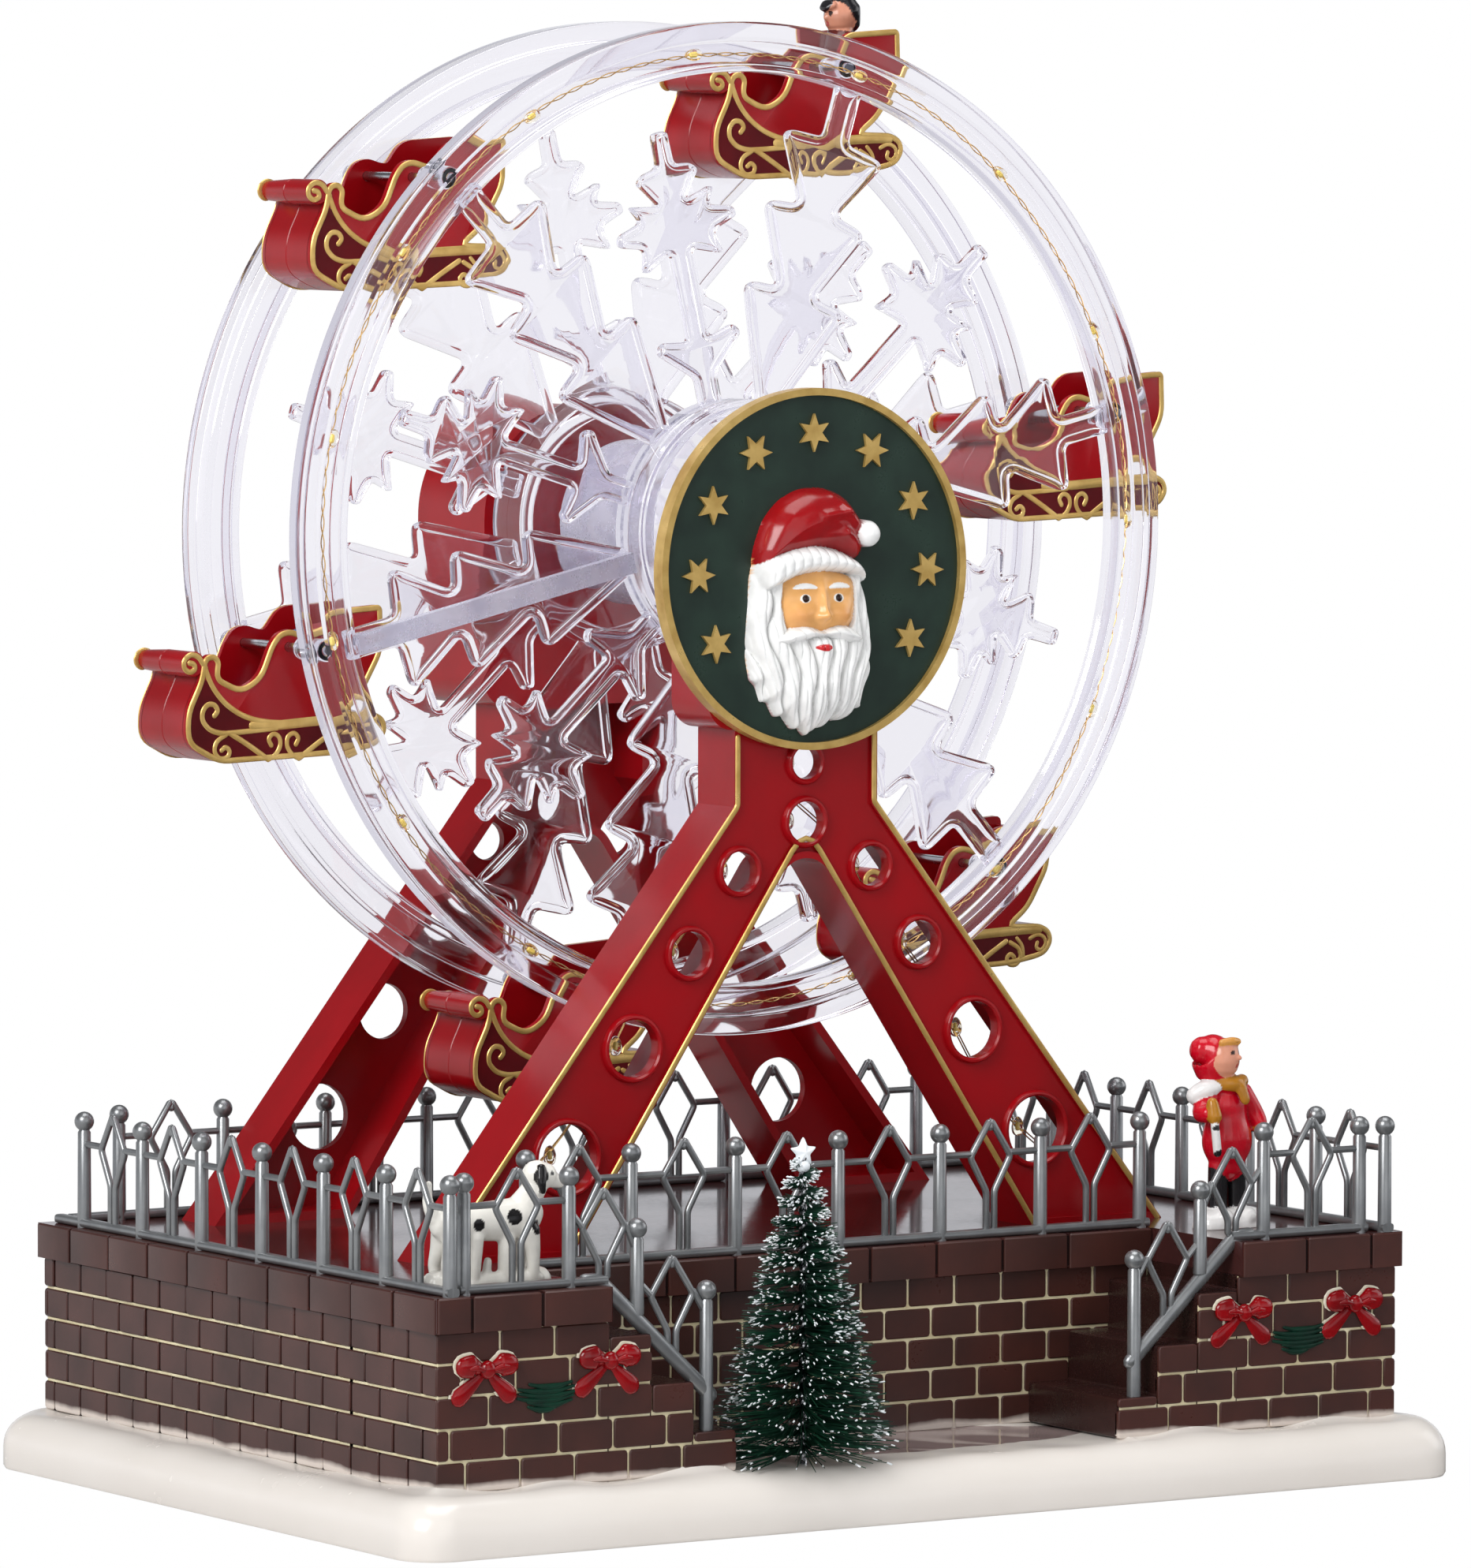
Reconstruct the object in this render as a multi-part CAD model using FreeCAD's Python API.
import FreeCAD, Part
import math
import os

V = FreeCAD.Vector

# A lighted table-top ferris wheel. X runs left to right across the front, Y runs from front
# to back, Z is up. The origin is the middle of the snow slab's underside. Millimetres.

# Snow slab and brick plinth
slab_x = 270.2
slab_y = 187.0
slab_z = 12.8
slab_corner = 9.5
slab_edge = 8.0
plinth_x = 248.4
plinth_back = 87.0
plinth_front = -82.5
court_y = -48.0
plinth_top = 47.0
plinth_wall = 3.0
course_z = 6.9
joint_z = 0.7
joint_deep = 0.6
wing_inner_x = 81.5
step_run = 10.65
step_rise = 10.9
step_count = 3

# Deck with its coping
deck_top = 54.4
deck_plate = 3.0
coping_over_x = 0.8
coping_over_y = 1.5
coping_joint = 0.7
coping_block = 17.5

# Fence
post_d = 3.1
ball_d = 4.4
ball_z = 23.6
rail_low_z = 2.0
rail_low_y = 3.0
rail_high_z = 18.6
rail_high_d = 1.6
picket_fork_z = 12.1
picket_wide_z = 18.1
picket_tip_z = 26.4
picket_half = 6.2
picket_stem = 4.4
picket_bar = 1.6
fence_pitch = 26.2
fence_front_pitch = 26.7
fence_inset = 4.0
handrail_gap = 0.2

# Towers
axle_z = 209.9
axle_d = 4.0
tower_front_y = -33.0
tower_rear_y = 76.0
tower_depth = 15.0
tower_wall = 2.0
tower_neck = 18.6
tower_kink_z = 150.8
leg_outer_slope = 0.796
leg_inner_slope = 0.667
leg_inner_x = 60.3
arch_r = 7.3
bead_w = 1.5
bead_h = 0.8
hole_lip = 1.2
head_r = 25.5
head_foot_z = 167.7
head_foot_r = 6.2
cover_depth = 14.0

# Sign
sign_r = 39.6
sign_z = 202.5
sign_y = -36.5
sign_rim = 1.6
sign_face_sink = 1.2
relief_deep = 7.5
star_count = 9
star_r = 4.2
star_notch_r = 1.9
star_inset = 9.8
star_high = 0.8

# Wheel
wheel_front_y = -6.7
wheel_width = 53.4
rim_depth = 6.7
rim_r = 112.0
rim_band = 11.0
rim_inner_wall = 1.7
rim_outer_wall = 4.3
rim_floor = 2.0
spoke_count = 6
spoke_turn = 13.0
spoke_thick = 2.5
spoke_sink = 2.0
hub_ring_r = 29.0
hub_ring_inner = 24.8
hub_boss_r = 5.0
hub_web = 2.0
hub_stand = 7.2
hub_step = 3.6
hub_neck_r = 27.8
drum_r = 18.5
drum_wall = 1.4
rod_inset = 5.5
rod_d = 2.0
boss_d = 5.0
boss_front = 8.0
boss_rear = 3.5

# Sleighs
sleigh_y = 14.0
sleigh_width = 21.0
sleigh_panel = 1.6
sleigh_wall = 1.6
sleigh_roll_d = 5.5

# Gears, motor and running clearances
gear_module = 0.8
gear_teeth = 36
pinion_teeth = 12
gear_y = 65.0
gear_width = 4.0
gear_play = 0.12
motor_r = 14.0
motor_depth = 13.0
running_gap = 0.05
seat_gap = 0.2

# Battery well and switch
cell_d = 14.2
cell_len = 50.2
cell_count = 3
cell_gap = 0.4
well_y = 35.0
tray_wall = 1.6
door_thick = 1.6
door_lip = 8.0
door_gap = 0.2
screw_d = 2.6
switch_x = 90.0
switch_z = 30.0
switch_travel = 4.0

half_plinth = plinth_x / 2
plinth_foot = slab_z
wheel_back_y = wheel_front_y + wheel_width
rim_inner_r = rim_r - rim_band
rod_r = rim_r - rod_inset


def outline(points, place):
    """A closed wire through (u, v) corners, or (u, v, radius) where the corner is rounded."""
    corners = []
    for point in points:
        radius = point[2] if len(point) > 2 else 0.0
        corners.append((place(point[0], point[1]), radius))
    runs = []
    count = len(corners)
    for i in range(count):
        corner, radius = corners[i]
        if radius < 0.01:
            runs.append((corner, None, corner))
            continue
        back = (corners[i - 1][0] - corner).normalize()
        ahead = (corners[(i + 1) % count][0] - corner).normalize()
        half = back.getAngle(ahead) / 2
        reach = radius / math.tan(half)
        centre = corner + (back + ahead).normalize() * (radius / math.sin(half))
        middle = centre + (corner - centre).normalize() * radius
        runs.append((corner + back * reach, middle, corner + ahead * reach))
    edges = []
    for i in range(count):
        start, middle, end = runs[i]
        if middle is not None:
            edges.append(Part.Arc(start, middle, end).toShape())
        following = runs[(i + 1) % count][0]
        if (following - end).Length > 1e-5:
            edges.append(Part.LineSegment(end, following).toShape())
    return Part.Wire(edges)


def inset(points, distance):
    """The same outline moved inwards, for walls and raised rims; a minus sign moves it out."""
    count = len(points)
    area = 0.0
    for i in range(count):
        a, b = points[i], points[(i + 1) % count]
        area += a[0] * b[1] - b[0] * a[1]
    turn = 1 if area > 0 else -1
    moved = []
    for i in range(count):
        a, b, c = points[i - 1], points[i], points[(i + 1) % count]
        length_in = math.hypot(b[0] - a[0], b[1] - a[1])
        length_out = math.hypot(c[0] - b[0], c[1] - b[1])
        ax, ay = (b[0] - a[0]) / length_in, (b[1] - a[1]) / length_in
        bx, by = (c[0] - b[0]) / length_out, (c[1] - b[1]) / length_out
        cross = ax * by - ay * bx
        dx = (-by + ay) * turn * distance
        dy = (bx - ax) * turn * distance
        along = (dx * by - dy * bx) / cross if abs(cross) > 1e-6 else 0.0
        u = b[0] - ay * turn * distance + ax * along
        v = b[1] + ax * turn * distance + ay * along
        radius = b[2] if len(b) > 2 else 0.0
        if radius:
            radius = max(radius - distance if cross * turn > 0 else radius + distance, 0.0)
        moved.append((u, v, radius))
    return moved


def front_prism(points, y, depth):
    """An outline drawn in X and Z, standing from y to y + depth."""
    return Part.Face(outline(points, lambda u, v: V(u, y, v))).extrude(V(0, depth, 0))


def plan_prism(points, z, height):
    """An outline drawn in X and Y, standing from z to z + height."""
    return Part.Face(outline(points, lambda u, v: V(u, v, z))).extrude(V(0, 0, height))


def box(x0, x1, y0, y1, z0, z1):
    """A block between two corners."""
    return Part.makeBox(x1 - x0, y1 - y0, z1 - z0, V(x0, y0, z0))


def bar_y(x, z, radius, y0, y1):
    """A round bar along Y."""
    return Part.makeCylinder(radius, y1 - y0, V(x, y0, z), V(0, 1, 0))


def ring_y(profile, x, z):
    """A solid of revolution about a Y axis through (x, z), from (radius, y) corners."""
    wire = outline(profile, lambda r, y: V(x + r, y, z))
    return Part.Face(wire).revolve(V(x, 0, z), V(0, 1, 0), 360)


def around_axle(shape, degrees):
    """A copy turned about the wheel's axis, anticlockwise seen from the front."""
    copy = shape.copy()
    copy.rotate(V(0, 0, axle_z), V(0, -1, 0), degrees)
    return copy


def rotated_z(shape, degrees):
    """A copy turned about the Z axis."""
    copy = shape.copy()
    copy.rotate(V(0, 0, 0), V(0, 0, 1), degrees)
    return copy


def moved(shape, x, y, z):
    """A copy moved by a distance."""
    copy = shape.copy()
    copy.translate(V(x, y, z))
    return copy


def mirrored(shape):
    """A copy reflected from left to right."""
    return shape.mirror(V(0, 0, 0), V(1, 0, 0))


def ribbon(points, width, y, depth):
    """A flat strip of even width that follows a run of (x, z) points."""
    left, right = [], []
    last = len(points) - 1
    for i, (u, v) in enumerate(points):
        a, b = points[max(i - 1, 0)], points[min(i + 1, last)]
        du, dv = b[0] - a[0], b[1] - a[1]
        length = math.hypot(du, dv)
        nu, nv = -dv / length * width / 2, du / length * width / 2
        left.append((u + nu, v + nv))
        right.insert(0, (u - nu, v - nv))
    return front_prism(left + right, y, depth)


def regular(sides, radius, u=0.0, v=0.0, start=0.0):
    """Corners of a regular polygon."""
    corners = []
    for i in range(sides):
        angle = math.radians(start + 360.0 * i / sides)
        corners.append((u + radius * math.cos(angle), v + radius * math.sin(angle)))
    return corners


def stacked(rings):
    """A solid with flat faces through level rings of corners: (corners, z), lowest first.

    The rings are all one outline, larger or smaller, so every face between them is plane.
    """
    loops = [[V(u, v, z) for u, v in corners] for corners, z in rings]
    faces = [Part.Face(Part.makePolygon(loop + loop[:1])) for loop in (loops[0], loops[-1])]
    for low, high in zip(loops, loops[1:]):
        for i in range(len(low)):
            around = [low[i - 1], low[i], high[i], high[i - 1], low[i - 1]]
            faces.append(Part.Face(Part.makePolygon(around)))
    solid = Part.makeSolid(Part.makeShell(faces))
    if solid.Volume < 0:
        solid.reverse()
    return solid


def oval(x, y, rx, ry, sides):
    """Corners of a polygon with its own two radii."""
    turns = [2 * math.pi * i / sides for i in range(sides)]
    return [(x + rx * math.cos(turn), y + ry * math.sin(turn)) for turn in turns]


def ball(x, y, z, radius, sides=6, bands=3):
    """A turned ball with flat facets, for finials and other small round ends."""
    rings = []
    for i in range(bands + 1):
        angle = math.radians(-62 + 124.0 * i / bands)
        ring = regular(sides, radius * math.cos(angle), x, y)
        rings.append((ring, z + radius * math.sin(angle)))
    return stacked(rings)


def egg(x, y, z, rx, ry, rz, cuts=(7, 5)):
    """A rounded body with its own three radii."""
    rings = []
    sides, bands = cuts
    for i in range(bands + 1):
        angle = math.radians(-75 + 150.0 * i / bands)
        ring = oval(x, y, rx * math.cos(angle), ry * math.cos(angle), sides)
        rings.append((ring, z + rz * math.sin(angle)))
    return stacked(rings)


def joined(shapes):
    """All shapes as one solid."""
    if len(shapes) == 1:
        return shapes[0]
    return shapes[0].fuse(shapes[1:]).removeSplitter()


def save(name, shape):
    """Write one piece."""
    shape.exportStep("parts/" + name + ".step")


# Snow slab
# A thick glossy slab with a rolled upper edge and a window for the battery well.
def well_half_x():
    return (cell_count * (cell_d + cell_gap) + cell_gap) / 2 + tray_wall


def well_half_y():
    return cell_len / 2 + 1.2 + tray_wall


def door_half_x():
    return well_half_x() + door_lip


def door_half_y():
    return well_half_y() + 2.4


def screw_x():
    return well_half_x() + door_lip / 2


def build_slab():
    hx, hy = slab_x / 2, slab_y / 2
    plan = [(-hx, -hy, slab_corner), (hx, -hy, slab_corner), (hx, hy, slab_corner)]
    plan.append((-hx, hy, slab_corner))
    slab = plan_prism(plan, 0, slab_z)
    rim = [e for e in slab.Edges if min(v.Z for v in e.Vertexes) > slab_z - 0.01]
    slab = slab.makeFillet(slab_edge, rim)
    wx, wy = well_half_x() + seat_gap, well_half_y() + seat_gap
    dx, dy = door_half_x() + door_gap, door_half_y() + door_gap
    window = box(-wx, wx, well_y - wy, well_y + wy, -1, slab_z + 1)
    recess = box(-dx, dx, well_y - dy, well_y + dy, -1, door_thick + door_gap)
    slab = slab.cut([window, recess])
    for side in (-1, 1):
        pilot = Part.makeCylinder(screw_d * 0.42, 8, V(side * screw_x(), well_y, 0))
        slab = slab.cut(pilot)
    return slab.cut(tree_socket())


# Brick plinth
# A moulded shell, open above and below: a court between two wings, and a stair in each wing.
def plinth_solid(shrink):
    """The plinth's outer form, or its hollow when it is shrunk by the wall."""
    half = half_plinth - shrink
    body = box(-half, half, court_y + shrink, plinth_back - shrink, plinth_foot, plinth_top)
    parts = [body]
    for side in (-1, 1):
        near, far = sorted((side * (wing_inner_x + shrink), side * half))
        front = plinth_front + shrink
        parts.append(box(near, far, front, court_y + 2 * shrink, plinth_foot, plinth_top))
        for step in range(step_count):
            outer = wing_inner_x - step * step_run + 2 * shrink
            inner = wing_inner_x - (step + 1) * step_run + shrink
            top = deck_top - (step + 1) * step_rise - shrink
            near, far = sorted((side * inner, side * outer))
            depth = court_y + 2 * shrink
            parts.append(box(near, far, front, depth, plinth_foot, top))
    return joined(parts)


def course_levels():
    count = int((plinth_top - plinth_foot) / course_z)
    return [plinth_top - course_z * (i + 1) for i in range(count)]


def build_plinth():
    shell = plinth_solid(0.0).cut(plinth_solid(plinth_wall))
    grooves = []
    half = half_plinth
    for level in course_levels():
        low = level - joint_z / 2
        outer = box(-half - 1, half + 1, plinth_front - 1, plinth_back + 1, low, low + joint_z)
        cut_x = half - joint_deep
        back = plinth_back - joint_deep
        keep = [box(-cut_x, cut_x, court_y + joint_deep, back, low - 1, low + 2)]
        for side in (-1, 1):
            near, far = sorted((side * (step_foot_x() - 1), side * cut_x))
            front = plinth_front + joint_deep
            keep.append(box(near, far, front, court_y + 2, low - 1, low + 2))
        grooves.append(outer.cut(keep))
    shell = shell.cut(grooves)
    slot = box(switch_x - 2.2, switch_x + switch_travel + 2.2, plinth_back - plinth_wall - 1,
               plinth_back + 1, switch_z - 1.7, switch_z + 1.7)
    return shell.cut(slot)


def step_foot_x():
    return wing_inner_x - step_count * step_run


# Deck
# One tray with a coping lip that sits on the plinth and laps over its face.
def deck_plan():
    half = half_plinth + coping_over_x
    front = plinth_front - coping_over_y
    court = court_y - coping_over_y
    inner = wing_inner_x
    back = plinth_back + coping_over_y
    return [(-half, back), (-half, front), (-inner, front), (-inner, court),
            (inner, court), (inner, front), (half, front), (half, back)]


def build_deck():
    plan = deck_plan()
    deck = plan_prism(plan, plinth_top, deck_top - plinth_top)
    hollow = inset(plan, plinth_wall + coping_over_y)
    deck = deck.cut(plan_prism(hollow, plinth_top - 1, deck_top - deck_plate - plinth_top + 1))
    cuts = []
    half = half_plinth + coping_over_x
    for front, limit in ((plinth_front - coping_over_y, half), (court_y - coping_over_y, wing_inner_x)):
        start = wing_inner_x if limit == half else 0.0
        x = start + coping_block
        while x < limit - coping_block / 2:
            for side in (-1, 1):
                cuts.append(box(side * x - coping_joint / 2, side * x + coping_joint / 2,
                                front - 1, front + coping_joint, plinth_top - 1, deck_top + 1))
            x += coping_block
    y = plinth_front - coping_over_y + coping_block
    while y < plinth_back - coping_block / 2:
        for side in (-1, 1):
            near, far = sorted((side * (half + 1), side * (half - coping_joint)))
            cuts.append(box(near, far, y - coping_joint / 2, y + coping_joint / 2,
                            plinth_top - 1, deck_top + 1))
        y += coping_block
    return deck.cut(cuts)


# Fence
# Each panel is drawn along X on the deck, centred on y = 0, then turned and moved into place.
def fence_post(x, foot=0.0, ball_level=None):
    level = ball_z if ball_level is None else ball_level
    shaft = plan_prism(regular(6, post_d / 2, x), deck_top + foot, level - foot)
    return [shaft, ball(x, 0, deck_top + level, ball_d / 2)]


def fence_picket(x, drop=0.0, foot_level=rail_low_z / 2):
    """A stem that forks into an open diamond; drop lowers it down a stair."""
    low = deck_top - drop
    foot = deck_top + foot_level
    stem = picket_stem / 2
    fork = low + picket_fork_z
    wide = low + picket_wide_z
    tip = low + picket_tip_z
    outer = [(x - stem, foot), (x + stem, foot), (x + stem, fork), (x + picket_half, wide),
             (x, tip), (x - picket_half, wide), (x - stem, fork)]
    half = picket_half - picket_bar
    slope = (picket_tip_z - picket_wide_z) / picket_half
    rise = (picket_wide_z - picket_fork_z) / (picket_half - stem)
    hole = [(x, wide - half * rise * 0.72), (x + half, wide), (x, wide + half * slope),
            (x - half, wide)]
    depth = rail_high_d
    plate = front_prism(outer, -depth / 2, depth)
    return [plate.cut(front_prism(hole, -depth, depth * 2))]


def fence_rail(x0, z0, x1, z1):
    points = [(x0, deck_top + z0), (x1, deck_top + z1)]
    return [ribbon(points, rail_high_d, -rail_high_d / 2, rail_high_d)]


def fence_foot(x0, x1):
    return [box(x0, x1, -rail_low_y / 2, rail_low_y / 2, deck_top, deck_top + rail_low_z)]


def fence_run(posts, x0, x1):
    """A level panel: a post at each place and a picket half way to the next."""
    parts = fence_foot(x0, x1)
    for post in posts:
        parts += fence_post(post)
    for here, there in zip(posts, posts[1:]):
        middle = (here + there) / 2
        parts += fence_picket(middle)
        parts += fence_rail(here, rail_high_z, middle - picket_half + 0.6, rail_high_z)
        parts += fence_rail(middle + picket_half - 0.6, rail_high_z, there, rail_high_z)
    return joined(parts)


def build_side_fence(side):
    posts = [plinth_front - 0.2 + fence_pitch * i for i in range(7)]
    end = plinth_back - 1.5
    panel = fence_run(posts, posts[0] - post_d / 2, end)
    panel = rotated_z(panel, 90)
    return moved(panel, side * (half_plinth - fence_inset + 0.8), 0, 0)


def build_rear_fence():
    posts = [fence_front_pitch * i for i in range(-4, 5)]
    reach = half_plinth - fence_inset - rail_low_y / 2 + 0.5
    return moved(fence_run(posts, -reach, reach), 0, plinth_back - 3.0, 0)


def build_court_fence():
    posts = [fence_front_pitch * i for i in range(-3, 4)]
    end = wing_inner_x + 0.5
    return moved(fence_run(posts, -end, end), 0, court_y + 1.7, 0)


def stair_level(x):
    """Height above the deck of the sloping foot bar, which clears the noses of the steps."""
    slope = step_rise / step_run
    thick = rail_low_z * 0.6 * math.hypot(1, slope)
    return handrail_gap + thick - slope * (wing_inner_x - x)


def build_wing_fence():
    """Right-hand wing: level along the coping, then down the stair beside the steps."""
    corner, level_post = half_plinth - 8.2, wing_inner_x + 8.5
    stair_post = wing_inner_x - 8.5
    end_post = wing_inner_x - step_count * step_run + 5.95
    low_picket = (stair_post + end_post) / 2
    middle = (corner + level_post) / 2
    parts = fence_foot(wing_inner_x - 0.5, corner + post_d / 2)
    parts += fence_post(corner) + fence_post(level_post)
    parts += fence_post(stair_post, stair_level(stair_post), ball_z - 12.0)
    end_foot = deck_top - step_count * step_rise
    parts += fence_post(end_post, end_foot - deck_top, ball_z - 26.3)
    parts += fence_picket(middle)
    parts += fence_picket(wing_inner_x, 5.5, stair_level(wing_inner_x))
    parts += fence_picket(low_picket, 21.0, stair_level(low_picket))
    parts += fence_rail(corner, rail_high_z, middle + picket_half - 0.6, rail_high_z)
    parts += fence_rail(middle - picket_half + 0.6, rail_high_z, level_post, rail_high_z)
    wide = picket_wide_z
    parts += fence_rail(level_post, 16.5, wing_inner_x + picket_half - 0.6, wide - 5.5)
    parts += fence_rail(wing_inner_x - picket_half + 0.6, wide - 5.5, stair_post, 6.0)
    parts += fence_rail(stair_post, 0.5, low_picket + picket_half - 0.6, wide - 21.0)
    parts += fence_rail(low_picket - picket_half + 0.6, wide - 21.0, end_post, -8.0)
    top = (wing_inner_x + 0.4, deck_top + stair_level(wing_inner_x + 0.4))
    foot = (end_post + 1.0, deck_top + stair_level(end_post + 1.0))
    parts.append(ribbon([top, foot], rail_low_z * 1.2, -rail_low_y / 2, rail_low_y))
    return moved(joined(parts), 0, plinth_front + 2.5, 0)


# Towers
# Channel-section A-frames. A raised bead follows the outline and a lip stands round each hole.
def tower_outline():
    foot_x = tower_neck + (tower_kink_z - deck_top) * leg_outer_slope
    apex = deck_top + leg_inner_x / leg_inner_slope
    crown = axle_z + head_r
    right = [(head_r, crown, head_r), (head_r, head_foot_z, head_foot_r),
             (tower_neck, head_foot_z), (tower_neck, tower_kink_z), (foot_x, deck_top),
             (leg_inner_x, deck_top)]
    left = [(-p[0],) + p[1:] for p in reversed(right)]
    return right + [(0, apex, arch_r)] + left


def head_outline():
    crown = axle_z + head_r
    return [(-head_r, crown, head_r), (-head_r, head_foot_z, head_foot_r),
            (head_r, head_foot_z, head_foot_r), (head_r, crown, head_r)]


def tower_holes():
    """Centre x, centre z and radius of each round window, larger towards the feet."""
    holes = [(0, head_foot_z - 7.8, 3.6), (0, tower_kink_z - 3.9, 4.5)]
    rise = tower_kink_z - deck_top
    for share, wide in ((0.853, 0.18), (0.672, 0.182), (0.464, 0.215), (0.225, 0.23)):
        level = rise * share
        inner = leg_inner_x - level * leg_inner_slope
        width = tower_neck + (rise - level) * leg_outer_slope - inner
        for side in (1, -1):
            holes.append((side * (inner + 0.48 * width), deck_top + level, wide * width))
    return holes


def tower_shell(lips):
    """A tower with its plate at y = 0 and its walls running back to y = tower_depth."""
    whole = tower_outline()
    tower = front_prism(whole, 0, tower_depth)
    channel = front_prism(inset(whole, tower_wall), tower_wall + bead_h, tower_depth)
    tower = tower.cut(channel)
    sunk = front_prism(inset(whole, bead_w), -1, 1 + bead_h)
    if lips:
        keep = [bar_y(x, z, r + hole_lip, -2, 2) for x, z, r in tower_holes()]
        sunk = sunk.cut(keep)
    tower = tower.cut(sunk)
    return tower.cut([bar_y(x, z, r, -1, tower_wall + 2) for x, z, r in tower_holes()])


def build_front_tower():
    tower = moved(tower_shell(True), 0, tower_front_y, 0)
    # The head behind the sign carries the fixed bearing plate on a shallow ledge.
    boss = bar_y(0, axle_z, hub_boss_r, tower_front_y + tower_wall, tower_front_y + 6)
    bore = bar_y(0, axle_z, axle_d / 2 + running_gap, tower_front_y + tower_wall + 1, 0)
    return tower.fuse(boss).cut(bore).removeSplitter()


def build_front_plate():
    """Plate that closes the wheel side of the front head, with the axle's bush in it."""
    back = tower_front_y + tower_depth
    plate = front_prism(inset(head_outline(), tower_wall + seat_gap), back - 2.5, 2.5)
    bush = bar_y(0, axle_z, hub_boss_r, back - 6, back + 3)
    bore = bar_y(0, axle_z, axle_d / 2 + running_gap, back - 7, back + 4)
    return plate.fuse(bush).cut(bore).removeSplitter()


def build_rear_tower():
    """Rear tower: legs open towards the wheel, head closed there and open at the back."""
    shell = tower_shell(False)
    shell = shell.mirror(V(0, 0, 0), V(0, 1, 0))
    shell = moved(shell, 0, tower_rear_y, 0)
    near = tower_rear_y - tower_depth
    head = front_prism(head_outline(), near, tower_depth)
    room = front_prism(inset(head_outline(), tower_wall), near + tower_wall, tower_depth)
    bore = bar_y(0, axle_z, hub_boss_r - 1 + seat_gap, near - 1, near + tower_wall + 1)
    shell = shell.fuse(head).cut([room, bore])
    posts = [bar_y(x, z, 2.6, near + 1, tower_rear_y) for x, z in cover_screws()]
    pilots = [bar_y(x, z, screw_d / 2 - 0.05, near + 5, tower_rear_y + 1) for x, z in cover_screws()]
    return shell.fuse(posts).cut(pilots).removeSplitter()


def build_rear_bush():
    """Flanged bush in the wheel side of the rear head."""
    near = tower_rear_y - tower_depth
    flange = bar_y(0, axle_z, hub_boss_r + 1, near - 1.5, near)
    body = bar_y(0, axle_z, hub_boss_r - 1, near - 0.5, near + tower_wall)
    bore = bar_y(0, axle_z, axle_d / 2 + running_gap, near - 2, near + tower_wall + 1)
    return flange.fuse(body).cut(bore)


def cover_screws():
    return [(-head_r + 6.5, axle_z + 14.0), (head_r - 6.5, axle_z + 14.0),
            (-head_r + 6.5, head_foot_z + 6.5), (head_r - 6.5, head_foot_z + 6.5)]


def build_rear_cover():
    """Cup over the motor and gears, with vent slots, screw posts and the rear bush."""
    y0, y1 = tower_rear_y, tower_rear_y + cover_depth
    cover = front_prism(head_outline(), y0, cover_depth)
    room = front_prism(inset(head_outline(), tower_wall), y0 - 1, cover_depth - tower_wall + 1)
    cover = cover.cut(room)
    posts = [bar_y(x, z, 2.6, y0 + 0.2, y1 - 1) for x, z in cover_screws()]
    posts.append(bar_y(0, axle_z, hub_boss_r - 0.6, y1 - 7, y1 - 1))
    cover = cover.fuse(posts)
    bores = [bar_y(x, z, screw_d / 2, y0 - 1, y1 + 1) for x, z in cover_screws()]
    bores.append(bar_y(0, axle_z, axle_d / 2 + running_gap, y1 - 8, y1 - tower_wall))
    slots = []
    for i in range(-2, 3):
        z = head_foot_z + 17 + 3.6 * (i + 2)
        slots.append(box(-8, 8, y1 - 3, y1 + 1, z - 0.8, z + 0.8))
    return cover.cut(bores + slots).removeSplitter()


def build_cover_screws():
    y1 = tower_rear_y + cover_depth
    screws = []
    for x, z in cover_screws():
        head = bar_y(x, z, screw_d * 0.85, y1, y1 + 1.2)
        screws.append(head.fuse(bar_y(x, z, screw_d / 2 - 0.05, y1 - cover_depth - 6, y1)))
    return Part.makeCompound(screws)


# Gears and motor
def gear(teeth, x, z, y0, y1, turn):
    """A spur gear with straight-flanked teeth, each thinned by the play between the pair."""
    pitch = gear_module * teeth / 2
    tip = pitch + gear_module
    root = pitch - gear_module * 1.2
    step = 360.0 / teeth
    play = math.degrees(gear_play / pitch)
    corners = []
    for i in range(teeth):
        middle = turn + i * step
        for radius, half in ((root, 0.36), (pitch, 0.25), (tip, 0.11)):
            angle = math.radians(middle - half * step + play)
            corners.append((x + radius * math.cos(angle), z + radius * math.sin(angle)))
        for radius, half in ((tip, 0.11), (pitch, 0.25), (root, 0.36)):
            angle = math.radians(middle + half * step - play)
            corners.append((x + radius * math.cos(angle), z + radius * math.sin(angle)))
    return front_prism(corners, y0, y1 - y0)


def pinion_z():
    return axle_z - gear_module * (gear_teeth + pinion_teeth) / 2


def build_wheel_gear():
    """Gear pressed on the axle. A tooth points straight down, into the pinion's space."""
    body = gear(gear_teeth, 0, axle_z, gear_y, gear_y + gear_width, -90.0)
    return body.cut(bar_y(0, axle_z, axle_d / 2, gear_y - 1, gear_y + gear_width + 1))


def build_pinion():
    """The motor's output pinion with its shaft. A space points straight up at the gear."""
    turn = 90.0 + 180.0 / pinion_teeth
    body = gear(pinion_teeth, 0, pinion_z(), gear_y - 0.3, gear_y + gear_width + 0.3, turn)
    shaft = bar_y(0, pinion_z(), 1.5, gear_y, motor_front() + 4)
    return body.fuse(shaft).removeSplitter()


def motor_front():
    return tower_rear_y + cover_depth - tower_wall - motor_depth


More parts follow.
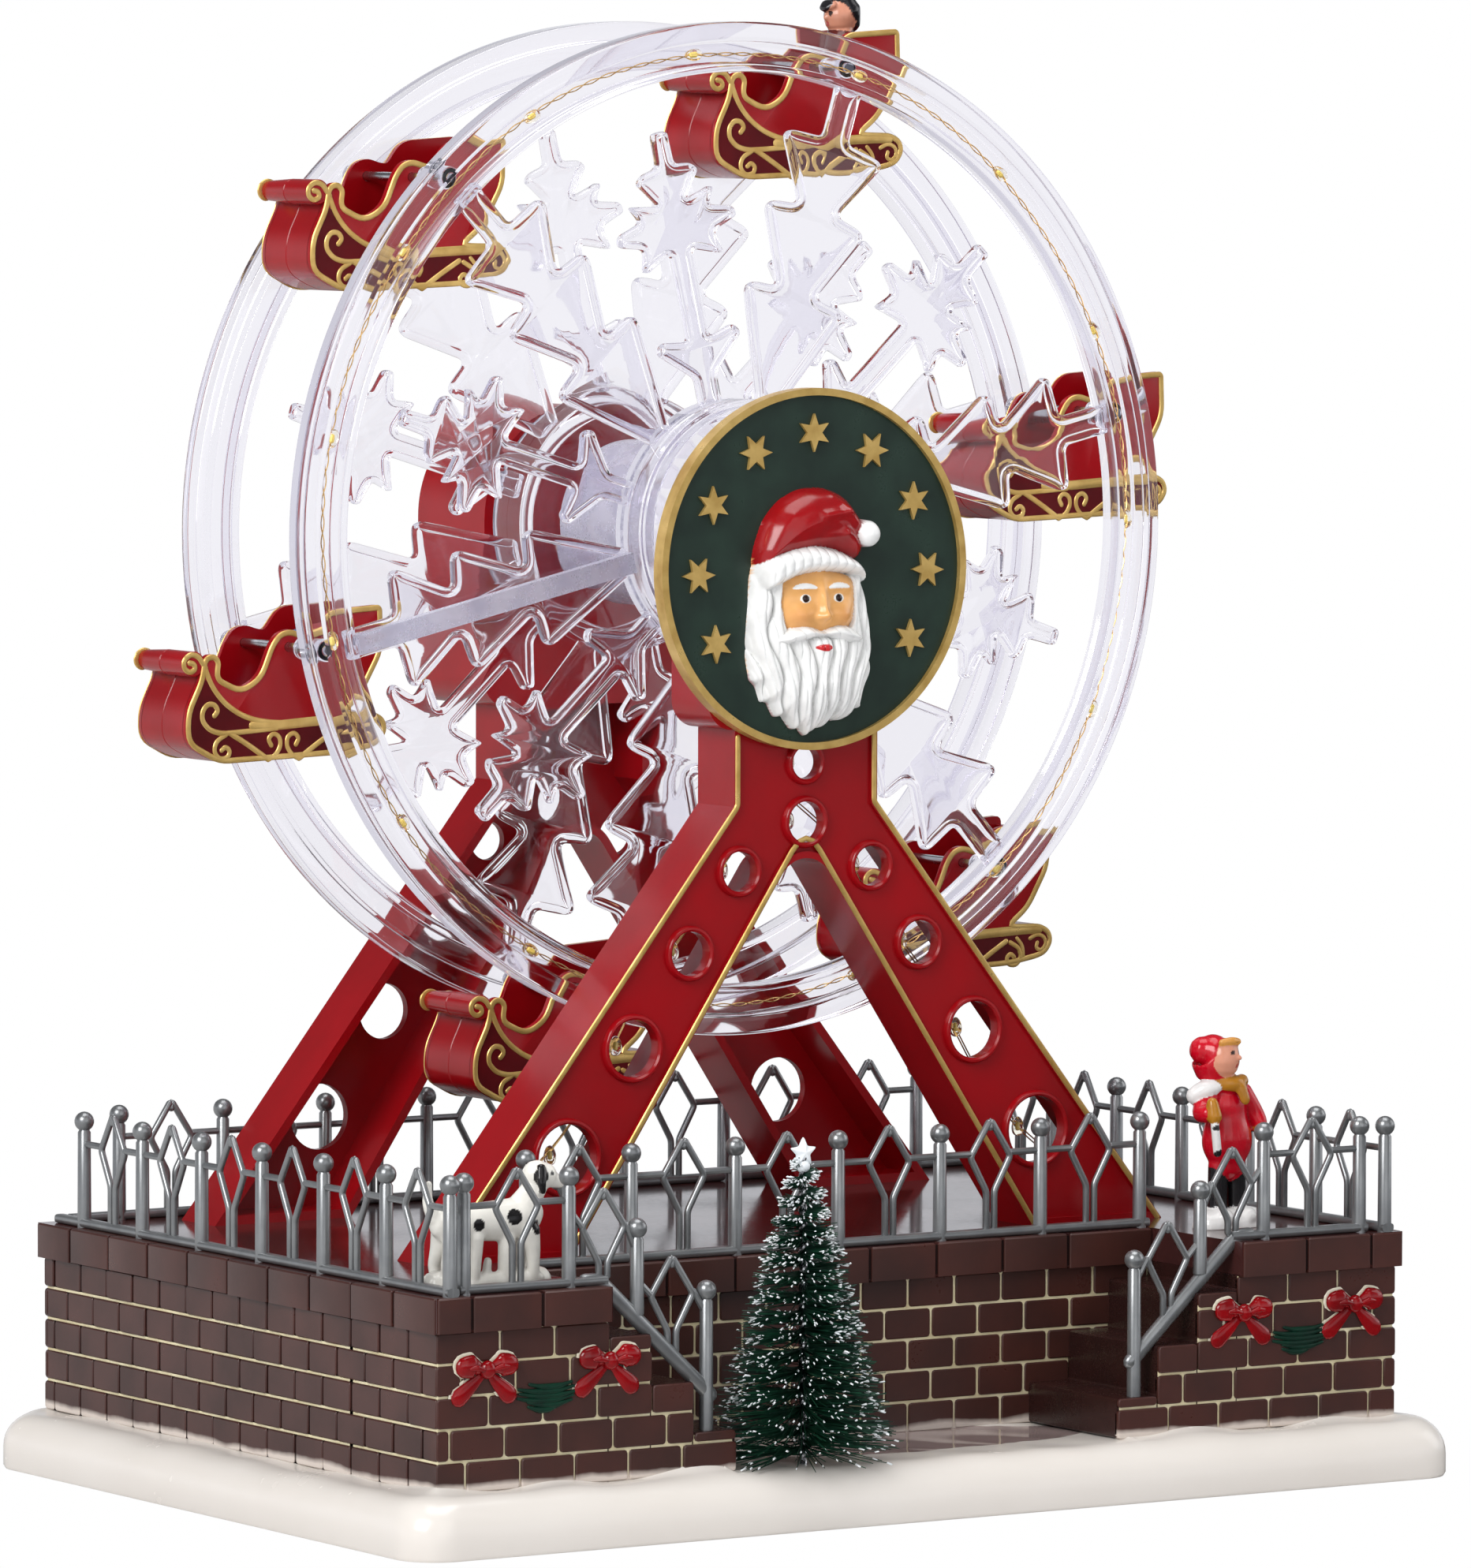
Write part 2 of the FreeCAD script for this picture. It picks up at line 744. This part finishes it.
def build_motor():
    """Flat geared motor, held against the inside of the cover."""
    front = motor_front()
    can = bar_y(0, pinion_z(), motor_r, front, front + motor_depth)
    nose = bar_y(0, pinion_z(), 4.0, front - 1.2, front)
    bore = bar_y(0, pinion_z(), 1.5 + running_gap, front - 2, front + 5)
    ears = []
    for side in (-1, 1):
        near, far = sorted((side * (motor_r - 2), side * (head_r - tower_wall - seat_gap)))
        z = pinion_z() - 4
        ears.append(box(near, far, front + motor_depth - 2, front + motor_depth, z - 3, z + 3))
    return can.fuse([nose] + ears).cut(bore).removeSplitter()


# Wheel
def build_axle():
    """Steel axle from the boss behind the sign to the bush in the motor cover."""
    start = tower_front_y + tower_wall + 1.5
    end = tower_rear_y + cover_depth - tower_wall - 0.5
    return bar_y(0, axle_z, axle_d / 2, start, end)


def tree_spoke():
    """Half outline of the tree spoke: (distance from the axle, half width)."""
    start, reach = hub_ring_r - 1.5, rim_inner_r
    tiers = [(0.53, 0.139), (0.54, 0.05), (0.713, 0.141), (0.728, 0.05), (0.876, 0.142),
             (0.886, 0.033)]
    return [(start, 2.5)] + [(reach * r, reach * t) for r, t in tiers] + [(reach + 0.6, 3.3)]


def flake_spoke():
    """Half outline of the snowflake spoke: a lobed burst, a stem and a six-lobed star."""
    start, reach = hub_ring_r - 1.5, rim_inner_r
    lobes = [(0.347, 0.028), (0.418, 0.109), (0.442, 0.095), (0.428, 0.028), (0.624, 0.028),
             (0.596, 0.103), (0.65, 0.093), (0.669, 0.154), (0.693, 0.15), (0.709, 0.089),
             (0.749, 0.109), (0.733, 0.036), (0.792, 0.079), (0.808, 0.065), (0.816, 0.022),
             (0.891, 0.019)]
    return [(start, 2.8)] + [(reach * r, reach * t) for r, t in lobes]


def spoke(half, y):
    points = [(r, axle_z - t) for r, t in half]
    points += [(r, axle_z + t) for r, t in reversed(half)]
    return front_prism(points, y, spoke_thick)


def build_wheel(front):
    """One clear wheel: channel rim, hub, six trees and six snowflakes in one moulding."""
    y0 = wheel_front_y if front else wheel_back_y
    way = 1 if front else -1
    back = y0 + way * rim_depth
    floor = back - way * rim_floor
    inner, outer = rim_inner_r + rim_inner_wall, rim_r - rim_outer_wall
    rim = ring_y([(rim_inner_r, back), (rim_inner_r, y0), (inner, y0), (inner, floor),
                  (outer, floor), (outer, y0), (rim_r, y0), (rim_r, back)], 0, axle_z)
    web = back - way * hub_web
    bore = axle_d / 2
    # The hub is a cup that stands out beyond the rim, with a step near its mouth.
    mouth = y0 - way * hub_stand
    step = mouth + way * hub_step
    hub = ring_y([(bore, back), (bore, y0), (hub_boss_r, y0), (hub_boss_r, web),
                  (hub_ring_inner, web), (hub_ring_inner, mouth), (hub_neck_r, mouth),
                  (hub_neck_r, step), (hub_ring_r, step), (hub_ring_r, back)], 0, axle_z)
    low = min(y0 + way * spoke_sink, y0 + way * (spoke_sink + spoke_thick))
    parts = [rim, hub]
    pitch = 360.0 / spoke_count
    tree = spoke(tree_spoke(), low)
    flake = spoke(flake_spoke(), low)
    boss_len = boss_front if front else boss_rear
    ends = sorted((back, back + way * boss_len))
    boss = bar_y(rod_r, axle_z, boss_d / 2, ends[0], ends[1])
    holes = []
    for i in range(spoke_count):
        angle = spoke_turn + pitch * i
        parts.append(around_axle(tree, angle))
        parts.append(around_axle(flake, angle + pitch / 2))
        parts.append(around_axle(boss, angle))
        ends = sorted((floor - way, back + way * (boss_len + 1)))
        hole = bar_y(rod_r, axle_z, rod_d / 2, ends[0], ends[1])
        holes.append(around_axle(hole, angle))
    return joined(parts).cut(holes)


def build_drum():
    """Clear tube between the two hubs."""
    front = wheel_front_y + rim_depth
    back = wheel_back_y - rim_depth
    return ring_y([(drum_r - drum_wall, front), (drum_r, front), (drum_r, back),
                   (drum_r - drum_wall, back)], 0, axle_z)


def build_rods():
    """Six steel rods that carry the sleighs, held in the rims' bosses."""
    front = wheel_front_y + rim_depth - rim_floor
    back = wheel_back_y - rim_depth + rim_floor
    rods = []
    for i in range(spoke_count):
        rod = bar_y(rod_r, axle_z, rod_d / 2, front, back)
        rods.append(around_axle(rod, spoke_turn + i * 360.0 / spoke_count))
    return Part.makeCompound(rods)


def build_duct():
    """Frosted cover for the lamp wires, along the front of one tree spoke."""
    spoke_face = wheel_front_y + spoke_sink
    strip = box(hub_ring_r - 0.2, rim_inner_r + 0.2, wheel_front_y - 0.6, spoke_face,
                axle_z - 2.25, axle_z + 2.25)
    # The strip bridges hub and rim, so its ends stop just clear of both walls.
    trim = ring_y([(rim_inner_r - 0.05, wheel_front_y - 2), (rim_r, wheel_front_y - 2),
                   (rim_r, 0), (rim_inner_r - 0.05, 0)], 0, axle_z)
    core = bar_y(0, axle_z, hub_ring_r + 0.05, wheel_front_y - 2, 0)
    return around_axle(strip.cut([trim, core]), spoke_turn + 180.0)


def build_rim_lights():
    """Lamp string in the front rim: straight wire from lamp to lamp, fifteen lamps."""
    lamps = 15
    ring_r = (rim_inner_r + rim_inner_wall + rim_r - rim_outer_wall) / 2
    y = wheel_front_y + rim_depth - rim_floor
    outer = front_prism(regular(lamps * 2, ring_r + 0.3, 0, axle_z), y - 0.9, 0.6)
    inner = front_prism(regular(lamps * 2, ring_r - 0.3, 0, axle_z), y - 2, 3)
    string = outer.cut(inner)
    lamp = box(ring_r - 1.0, ring_r + 1.0, y - 1.9, y - 0.2, axle_z - 1.5, axle_z + 1.5)
    lamps_all = [around_axle(lamp, i * 360.0 / lamps) for i in range(lamps)]
    return string.fuse(lamps_all).removeSplitter()


# Sleighs
# Drawn about the rod: u runs towards the sleigh's back, w runs up.
def sleigh_edge():
    """The side panel: armrest over the rod, seat dip, raised back, scrolled foot, rolled nose."""
    return [(-21.5, -2.4), (-20.4, -1.2), (-18.4, -1.0), (-16.9, -2.6), (-17.4, -6.2),
            (-12.0, -8.8, 3.5), (-7.4, -6.2), (-4.6, 0.6), (-2.6, 3.2), (0.4, 3.9),
            (3.0, 3.0), (5.2, 2.6), (8.2, 6.6), (10.4, 7.8), (22.8, 8.6), (23.6, 7.8),
            (23.9, -1.5, 12.0), (18.4, -11.2, 12.0), (12.9, -14.9), (21.4, -14.7),
            (24.2, -16.2), (24.9, -18.8), (23.2, -21.6), (20.4, -22.6), (12.9, -23.9),
            (-17.6, -25.0, 7.5), (-25.7, -20.6, 7.5), (-25.7, -13.6), (-22.2, -6.6)]


def sleigh_hollow():
    """The seat hollow, one wall inside the sleigh's body and open at the top."""
    body = [(-21.5, 16.0), (-21.5, -3.4), (-22.2, -6.6), (-25.7, -13.6), (-25.7, -20.6),
            (-24.0, -22.6), (-17.6, -25.0), (12.9, -23.9), (12.9, -14.9), (18.4, -11.2),
            (23.0, -3.0), (23.9, 4.0), (23.9, 16.0)]
    return inset(body, sleigh_wall)


def on_rod(points, angle):
    """Points about the rod, placed where that rod stands at rest."""
    x = rod_r * math.cos(math.radians(angle))
    z = axle_z + rod_r * math.sin(math.radians(angle))
    return [(p[0] + x, p[1] + z) + tuple(p[2:]) for p in points]


def build_sleigh_half(angle, near):
    """Half of a sleigh, split down the middle: a side panel with its share of the walls."""
    half = sleigh_width / 2
    y0 = sleigh_y if near else sleigh_y + half
    shell = front_prism(on_rod(sleigh_edge(), angle), y0, half)
    seat_y = y0 + sleigh_panel if near else y0 - 1
    hollow = front_prism(on_rod(sleigh_hollow(), angle), seat_y, half - sleigh_panel + 1)
    x, z = on_rod([(0, 0)], angle)[0]
    roll_x, roll_z = x - 23.6, z - 3.1
    radius = sleigh_roll_d / 2
    if near:
        roll = bar_y(roll_x, roll_z, radius, y0, y0 + half)
    else:
        roll = Part.makeCone(radius, radius * 0.8, half, V(roll_x, y0, roll_z), V(0, 1, 0))
    hole = bar_y(x, z, rod_d / 2 + running_gap, y0 - 1, y0 + half + 1)
    return shell.cut(hollow).fuse(roll).cut(hole).removeSplitter()


def build_rider(angle, u, head_top, width):
    """A seated rider leaning back in the sleigh: feet near the rod, head above the back."""
    lap_u = 4.0
    lap_w = sleigh_wall + 1.3 - 25.0
    head = 4.0
    neck_w = head_top - head * 2
    x, z = on_rod([(0, 0)], angle)[0]
    y = sleigh_y + sleigh_width / 2
    coat = []
    for part_way, thick in ((0.0, 0.48), (0.25, 0.55), (0.8, 0.56), (1.0, 0.3)):
        middle = x + lap_u + (u - lap_u) * part_way
        level = z + lap_w + (neck_w + 1.5 - lap_w) * part_way
        coat.append((oval(middle, y, width * thick, width * thick * 1.6, 8), level))
    body = stacked(coat)
    skull = egg(x + u, y, z + neck_w + head, head * 0.85, head * 0.85, head)
    return body.fuse(skull).removeSplitter()


# Sign
def build_sign_disc():
    back = tower_front_y
    return bar_y(0, sign_z, sign_r - sign_rim, sign_y + sign_face_sink, back)


def build_sign_rim():
    back = tower_front_y
    inner, outer = sign_r - sign_rim, sign_r
    return ring_y([(inner, sign_y), (outer, sign_y), (outer, back), (inner, back)], 0, sign_z)


def build_sign_stars():
    """Raised six-pointed stars round the upper part of the sign."""
    face = sign_y + sign_face_sink
    ring_r = sign_r - star_inset
    stars = []
    for i in range(star_count):
        angle = math.radians(-32 + 244.0 * i / (star_count - 1))
        x = ring_r * math.cos(angle)
        z = sign_z + ring_r * math.sin(angle)
        corners = []
        for k in range(12):
            radius = star_r if k % 2 == 0 else star_notch_r
            turn = angle + math.radians(30.0 * k)
            corners.append((x + radius * math.cos(turn), z + radius * math.sin(turn)))
        stars.append(front_prism(corners, face - star_high, star_high))
    return Part.makeCompound(stars)


def build_relief():
    """Head in relief: beard, face and a soft cap that leans to one side with a bobble.

    Its places and sizes are shares of the sign's face, so it stays inside the rim.
    """
    face = sign_y + sign_face_sink
    face_r = sign_r - sign_rim
    x, z = -0.04 * face_r, sign_z - 0.25 * face_r
    w, h, d = 0.408 * face_r, 0.684 * face_r, relief_deep
    beard = egg(x - 0.013 * face_r, face, z - 0.171 * face_r, w, d, h * 0.8, (10, 6))
    brow = egg(x, face, z + 0.184 * face_r, w * 0.9, d * 0.95, h * 0.42, (10, 5))
    cap = egg(x + 0.026 * face_r, face, z + 0.382 * face_r, w * 0.88, d, h * 0.52, (10, 5))
    bobble_r = 0.074 * face_r
    bobble = egg(x + w * 0.98, face, z + 0.316 * face_r, bobble_r, d * 0.6, bobble_r, (8, 4))
    behind = box(-2 * face_r, 2 * face_r, face, face + 30, sign_z - 2 * face_r, sign_z + 2 * face_r)
    return beard.fuse([brow, cap, bobble]).cut(behind).removeSplitter()


# Scenery
tree_x = -31.0
tree_y = -80.0
tree_tip_z = 83.5
tree_stem_d = 1.8
tree_r = 18.2


def tree_socket():
    return Part.makeCylinder(tree_stem_d / 2 + 0.05, 5, V(tree_x, tree_y, slab_z - 4))


def build_tree_stem():
    """Twisted wire stem, pushed into the snow, with a small star at the tip."""
    stem = Part.makeCylinder(tree_stem_d / 2, tree_tip_z - 4 - slab_z + 4,
                             V(tree_x, tree_y, slab_z - 4))
    star = []
    for k in range(10):
        radius = 3.4 if k % 2 == 0 else 1.5
        turn = math.radians(90 + 36.0 * k)
        star.append((tree_x + radius * math.cos(turn), tree_tip_z - 3.4 + radius * math.sin(turn)))
    return stem.fuse(front_prism(star, tree_y - 0.8, 1.6)).removeSplitter()


def build_tree_bristles():
    """Trimmed bristles as one cone, widest just above the snow."""
    stem = tree_stem_d / 2
    tall = tree_tip_z - slab_z
    levels = [(13.0, slab_z + 1.2), (tree_r, slab_z + 0.1 * tall), (tree_r * 0.63, slab_z + 0.53 * tall),
              (2.4, tree_tip_z - 8)]
    rings = [(regular(14, radius, tree_x, tree_y), z) for radius, z in levels]
    bore = Part.makeCylinder(stem, tree_tip_z, V(tree_x, tree_y, 0))
    return stacked(rings).cut(bore)


def build_dog():
    """Standing spotted dog on the left wing, looking along the deck."""
    x, y, z = -101.0, -67.0, deck_top
    parts = [egg(x, y, z + 13.0, 10.5, 4.2, 5.2, (8, 4)),
             egg(x + 9.5, y, z + 18.5, 4.0, 3.2, 4.6, (8, 4)),
             egg(x + 11.0, y - 0.4, z + 22.2, 4.4, 3.8, 3.8, (8, 4)),
             egg(x + 15.0, y - 0.6, z + 21.0, 3.2, 2.2, 2.0, (8, 3))]
    for dx, dy in ((-7.5, -2.2), (-7.5, 2.2), (6.5, -2.2), (6.5, 2.2)):
        low, top = regular(6, 1.9, x + dx, y + dy), regular(6, 2.6, x + dx, y + dy)
        parts.append(stacked([(low, z), (top, z + 12)]))
    tail = ribbon([(x - 9, z + 14), (x - 13, z + 17), (x - 14.5, z + 21)], 1.8, y - 0.9, 1.8)
    return joined(parts + [tail])


def build_figure():
    """Standing child in a hooded coat on the right wing."""
    x, y, z = 97.0, -56.0, deck_top
    coat = []
    for level, radius in ((11, 7.0), (14, 7.4), (22, 5.6), (29, 5.0), (31.5, 3.0)):
        coat.append((oval(x, y, radius, 0.8 * radius, 8), z + level))
    parts = [stacked(coat)]
    parts.append(egg(x - 0.8, y, z + 37.0, 4.8, 4.6, 6.4, (9, 5)))
    for side in (-1, 1):
        leg_x = x + side * 3.2
        low, top = regular(6, 2.2, leg_x, y), regular(6, 2.0, leg_x, y)
        parts.append(stacked([(low, z + 2), (top, z + 12)]))
        boot = box(leg_x - 2.6, leg_x + 2.6, y - 4.6, y + 2.8, z, z + 4.6)
        parts.append(boot)
        arm = ribbon([(x + side * 4.6, z + 28.5), (x + side * 8.2, z + 20), (x + side * 6.2, z + 15)],
                     3.4, y - 2.6, 3.4)
        parts.append(arm)
    return joined(parts)


def bow_places():
    return [(-113.1, 37.4), (-80.7, 37.4), (83.4, 37.4), (113.3, 37.4)]


def build_bows():
    """Four painted bows, each two loops, a knot and two tails."""
    bows = []
    y = plinth_front - 2.0
    for x, z in bow_places():
        corners = [(x - 7.4, z + 3.4), (x - 1.4, z + 1.6), (x + 1.4, z + 1.6), (x + 7.4, z + 3.4),
                   (x + 8.0, z), (x + 7.0, z - 3.2), (x + 2.4, z - 1.6), (x + 7.4, z - 8.6),
                   (x + 3.4, z - 9.0), (x, z - 2.2), (x - 3.4, z - 9.0), (x - 7.4, z - 8.6),
                   (x - 2.4, z - 1.6), (x - 7.0, z - 3.2), (x - 8.0, z)]
        bow = front_prism(corners, y, plinth_front - y)
        knot = front_prism(regular(8, 2.0, x, z), y - 0.6, 1.2)
        bows.append(bow.fuse(knot))
    return Part.makeCompound(bows)


def build_garlands():
    """Two green garlands hung between the bows."""
    swags = []
    y = plinth_front - 1.4
    places = bow_places()
    for left, right in ((places[0], places[1]), (places[2], places[3])):
        middle = (left[0] + right[0]) / 2
        reach = (right[0] - left[0]) / 2 - 7.6
        level = left[1] - 3.4
        top = [(middle + reach * i / 3.0, level - 2.6 * (1 - (i / 3.0) ** 2)) for i in range(-3, 4)]
        low = [(middle + reach * 0.93 * i / 3.0, level - 3.4 - 2.9 * (1 - (i / 3.0) ** 2))
               for i in range(3, -4, -1)]
        swags.append(front_prism(top + low, y, plinth_front - y))
    return Part.makeCompound(swags)


def build_tower_lights():
    """Lamp string inside the front tower: down the neck, then down both legs to the deck."""
    y = tower_front_y + tower_wall + bead_h + 4.0
    centres = [(x, z) for x, z, r in tower_holes() if x >= 0]
    floor = deck_top + tower_wall + 0.5
    foot = centres[-1][0] + (centres[-1][1] - floor) * 0.72
    path = [(0, head_foot_z + tower_wall)] + centres + [(foot, floor)]
    wire = ribbon(path, 0.8, y, 0.8)
    other = ribbon([(-p[0], p[1]) for p in path[2:]], 0.8, y, 0.8)
    lamps = []
    for x, z, r in tower_holes():
        lamps.append(plan_prism(regular(6, 1.3, x, y + 0.4), z - 2.0, 4.0))
    ledge = box(-3, 3, y - 4.0, y + 2.0, head_foot_z - 1.0, head_foot_z + 1.0)
    return joined([wire, other, ledge] + lamps)


# Battery well, door and switch
def build_tray():
    """Open-bottomed well for three cells, with a flange that sits on the slab."""
    hx, hy = well_half_x(), well_half_y()
    roof = door_thick + door_gap + cell_gap * 2 + cell_d + tray_wall
    low = door_thick + door_gap
    outer = box(-hx, hx, well_y - hy, well_y + hy, low, roof)
    flange = box(-hx - 4, hx + 4, well_y - hy - 4, well_y + hy + 4, slab_z, slab_z + tray_wall)
    ix, iy = hx - tray_wall, hy - tray_wall
    room = box(-ix, ix, well_y - iy, well_y + iy, low - 1, roof - tray_wall)
    tray = outer.fuse(flange).cut(room)
    ribs = []
    for i in range(1, cell_count):
        x = -ix + cell_gap / 2 + i * (cell_d + cell_gap)
        ribs.append(box(x - 0.1, x + 0.3, well_y - iy, well_y + iy, roof - 5, roof - tray_wall + 0.5))
    return tray.fuse(ribs).removeSplitter()


def build_cells():
    """Three AA cells, side by side."""
    cells = []
    radius = cell_d / 2
    z = door_thick + door_gap + cell_gap + radius
    for i in range(cell_count):
        x = (i - (cell_count - 1) / 2.0) * (cell_d + cell_gap)
        way = 1 if i % 2 == 0 else -1
        body = bar_y(x, z, radius, well_y - cell_len / 2 + 0.6, well_y + cell_len / 2 - 0.6)
        ends = sorted((well_y, well_y + way * cell_len / 2))
        cells.append(body.fuse(bar_y(x, z, 2.75, ends[0], ends[1])).removeSplitter())
    return Part.makeCompound(cells)


def build_contacts():
    """Sprung end plates between the cells and the tray."""
    plates = []
    hx, hy = well_half_x() - tray_wall, well_half_y() - tray_wall
    z0 = door_thick + door_gap + 2.5
    for side in (-1, 1):
        wall = well_y + side * hy
        inner = wall - side * 0.5
        near, far = sorted((wall, inner))
        for i in range(cell_count):
            x = (i - (cell_count - 1) / 2.0) * (cell_d + cell_gap)
            plate = box(x - 5, x + 5, near, far, z0, z0 + 10)
            plates.append(plate)
    return Part.makeCompound(plates)


def build_door():
    """Battery door, flush in the slab's underside, with a grip of fine ribs."""
    dx, dy = door_half_x(), door_half_y()
    door = box(-dx, dx, well_y - dy, well_y + dy, 0.2, 0.2 + door_thick)
    holes = []
    for side in (-1, 1):
        x = side * screw_x()
        holes.append(Part.makeCylinder(screw_d / 2 + 0.1, 4, V(x, well_y, -1)))
        holes.append(Part.makeCone(screw_d, screw_d / 2, 1.2, V(x, well_y, 0)))
    for i in range(-2, 3):
        holes.append(box(-8, 8, well_y + 4 * i - 0.5, well_y + 4 * i + 0.5, 0, 0.6))
    return door.cut(holes)


def build_door_screws():
    screws = []
    for side in (-1, 1):
        x = side * screw_x()
        head = Part.makeCone(screw_d * 0.8, screw_d * 0.42, 1.0, V(x, well_y, 0.3))
        shank = Part.makeCylinder(screw_d * 0.42, 6, V(x, well_y, 0.4))
        screws.append(head.fuse(shank).removeSplitter())
    return Part.makeCompound(screws)


def build_switch_body():
    """Slide switch housing behind the rear wall."""
    y1 = plinth_back - plinth_wall
    return box(switch_x - 6, switch_x + switch_travel + 6, y1 - 6, y1, switch_z - 4, switch_z + 4)


def build_switch_knob():
    """Slider through the slot, with a ribbed cap outside. At rest it stands at off."""
    y1 = plinth_back - plinth_wall
    stem = box(switch_x - 1.8, switch_x + 1.8, y1 + 0.1, plinth_back + 0.3, switch_z - 1.4, switch_z + 1.4)
    cap = box(switch_x - 2.6, switch_x + 2.6, plinth_back + 0.1, plinth_back + 2.1,
              switch_z - 2.4, switch_z + 2.4)
    cuts = [box(switch_x + i - 0.3, switch_x + i + 0.3, plinth_back + 1.5, plinth_back + 3,
                switch_z - 3, switch_z + 3) for i in (-1.3, 0, 1.3)]
    return stem.fuse(cap).cut(cuts)


os.makedirs("parts", exist_ok=True)

save("snow_slab", build_slab())
save("brick_plinth", build_plinth())
save("deck_coping", build_deck())
save("fence_left", build_side_fence(-1))
save("fence_right", build_side_fence(1))
save("fence_rear", build_rear_fence())
save("fence_court", build_court_fence())
wing_fence = build_wing_fence()
save("fence_stair_right", wing_fence)
save("fence_stair_left", mirrored(wing_fence))
save("tower_front", build_front_tower())
save("bearing_plate_front", build_front_plate())
save("tower_rear", build_rear_tower())
save("bush_rear", build_rear_bush())
save("motor_cover", build_rear_cover())
save("cover_screws", build_cover_screws())
save("motor", build_motor())
save("motor_pinion", build_pinion())
save("wheel_gear", build_wheel_gear())
save("axle", build_axle())
save("wheel_front", build_wheel(True))
save("wheel_rear", build_wheel(False))
save("hub_drum", build_drum())
save("sleigh_rods", build_rods())
save("wire_duct", build_duct())
save("rim_lights", build_rim_lights())
save("tower_lights", build_tower_lights())
for number in range(spoke_count):
    rod_angle = spoke_turn + number * 360.0 / spoke_count
    save("sleigh_%d_near" % (number + 1), build_sleigh_half(rod_angle, True))
    save("sleigh_%d_far" % (number + 1), build_sleigh_half(rod_angle, False))
save("rider_top", build_rider(spoke_turn + 60.0, 15.0, 17.0, 7.0))
save("rider_left", build_rider(spoke_turn + 180.0, 8.0, 3.0, 6.6))
save("sign_disc", build_sign_disc())
save("sign_rim", build_sign_rim())
save("sign_stars", build_sign_stars())
save("sign_relief", build_relief())
save("tree_stem", build_tree_stem())
save("tree_bristles", build_tree_bristles())
save("dog", build_dog())
save("figure", build_figure())
save("bows", build_bows())
save("garlands", build_garlands())
save("battery_tray", build_tray())
save("battery_contacts", build_contacts())
save("battery_cells", build_cells())
save("battery_door", build_door())
save("door_screws", build_door_screws())
save("switch_body", build_switch_body())
save("switch_knob", build_switch_knob())
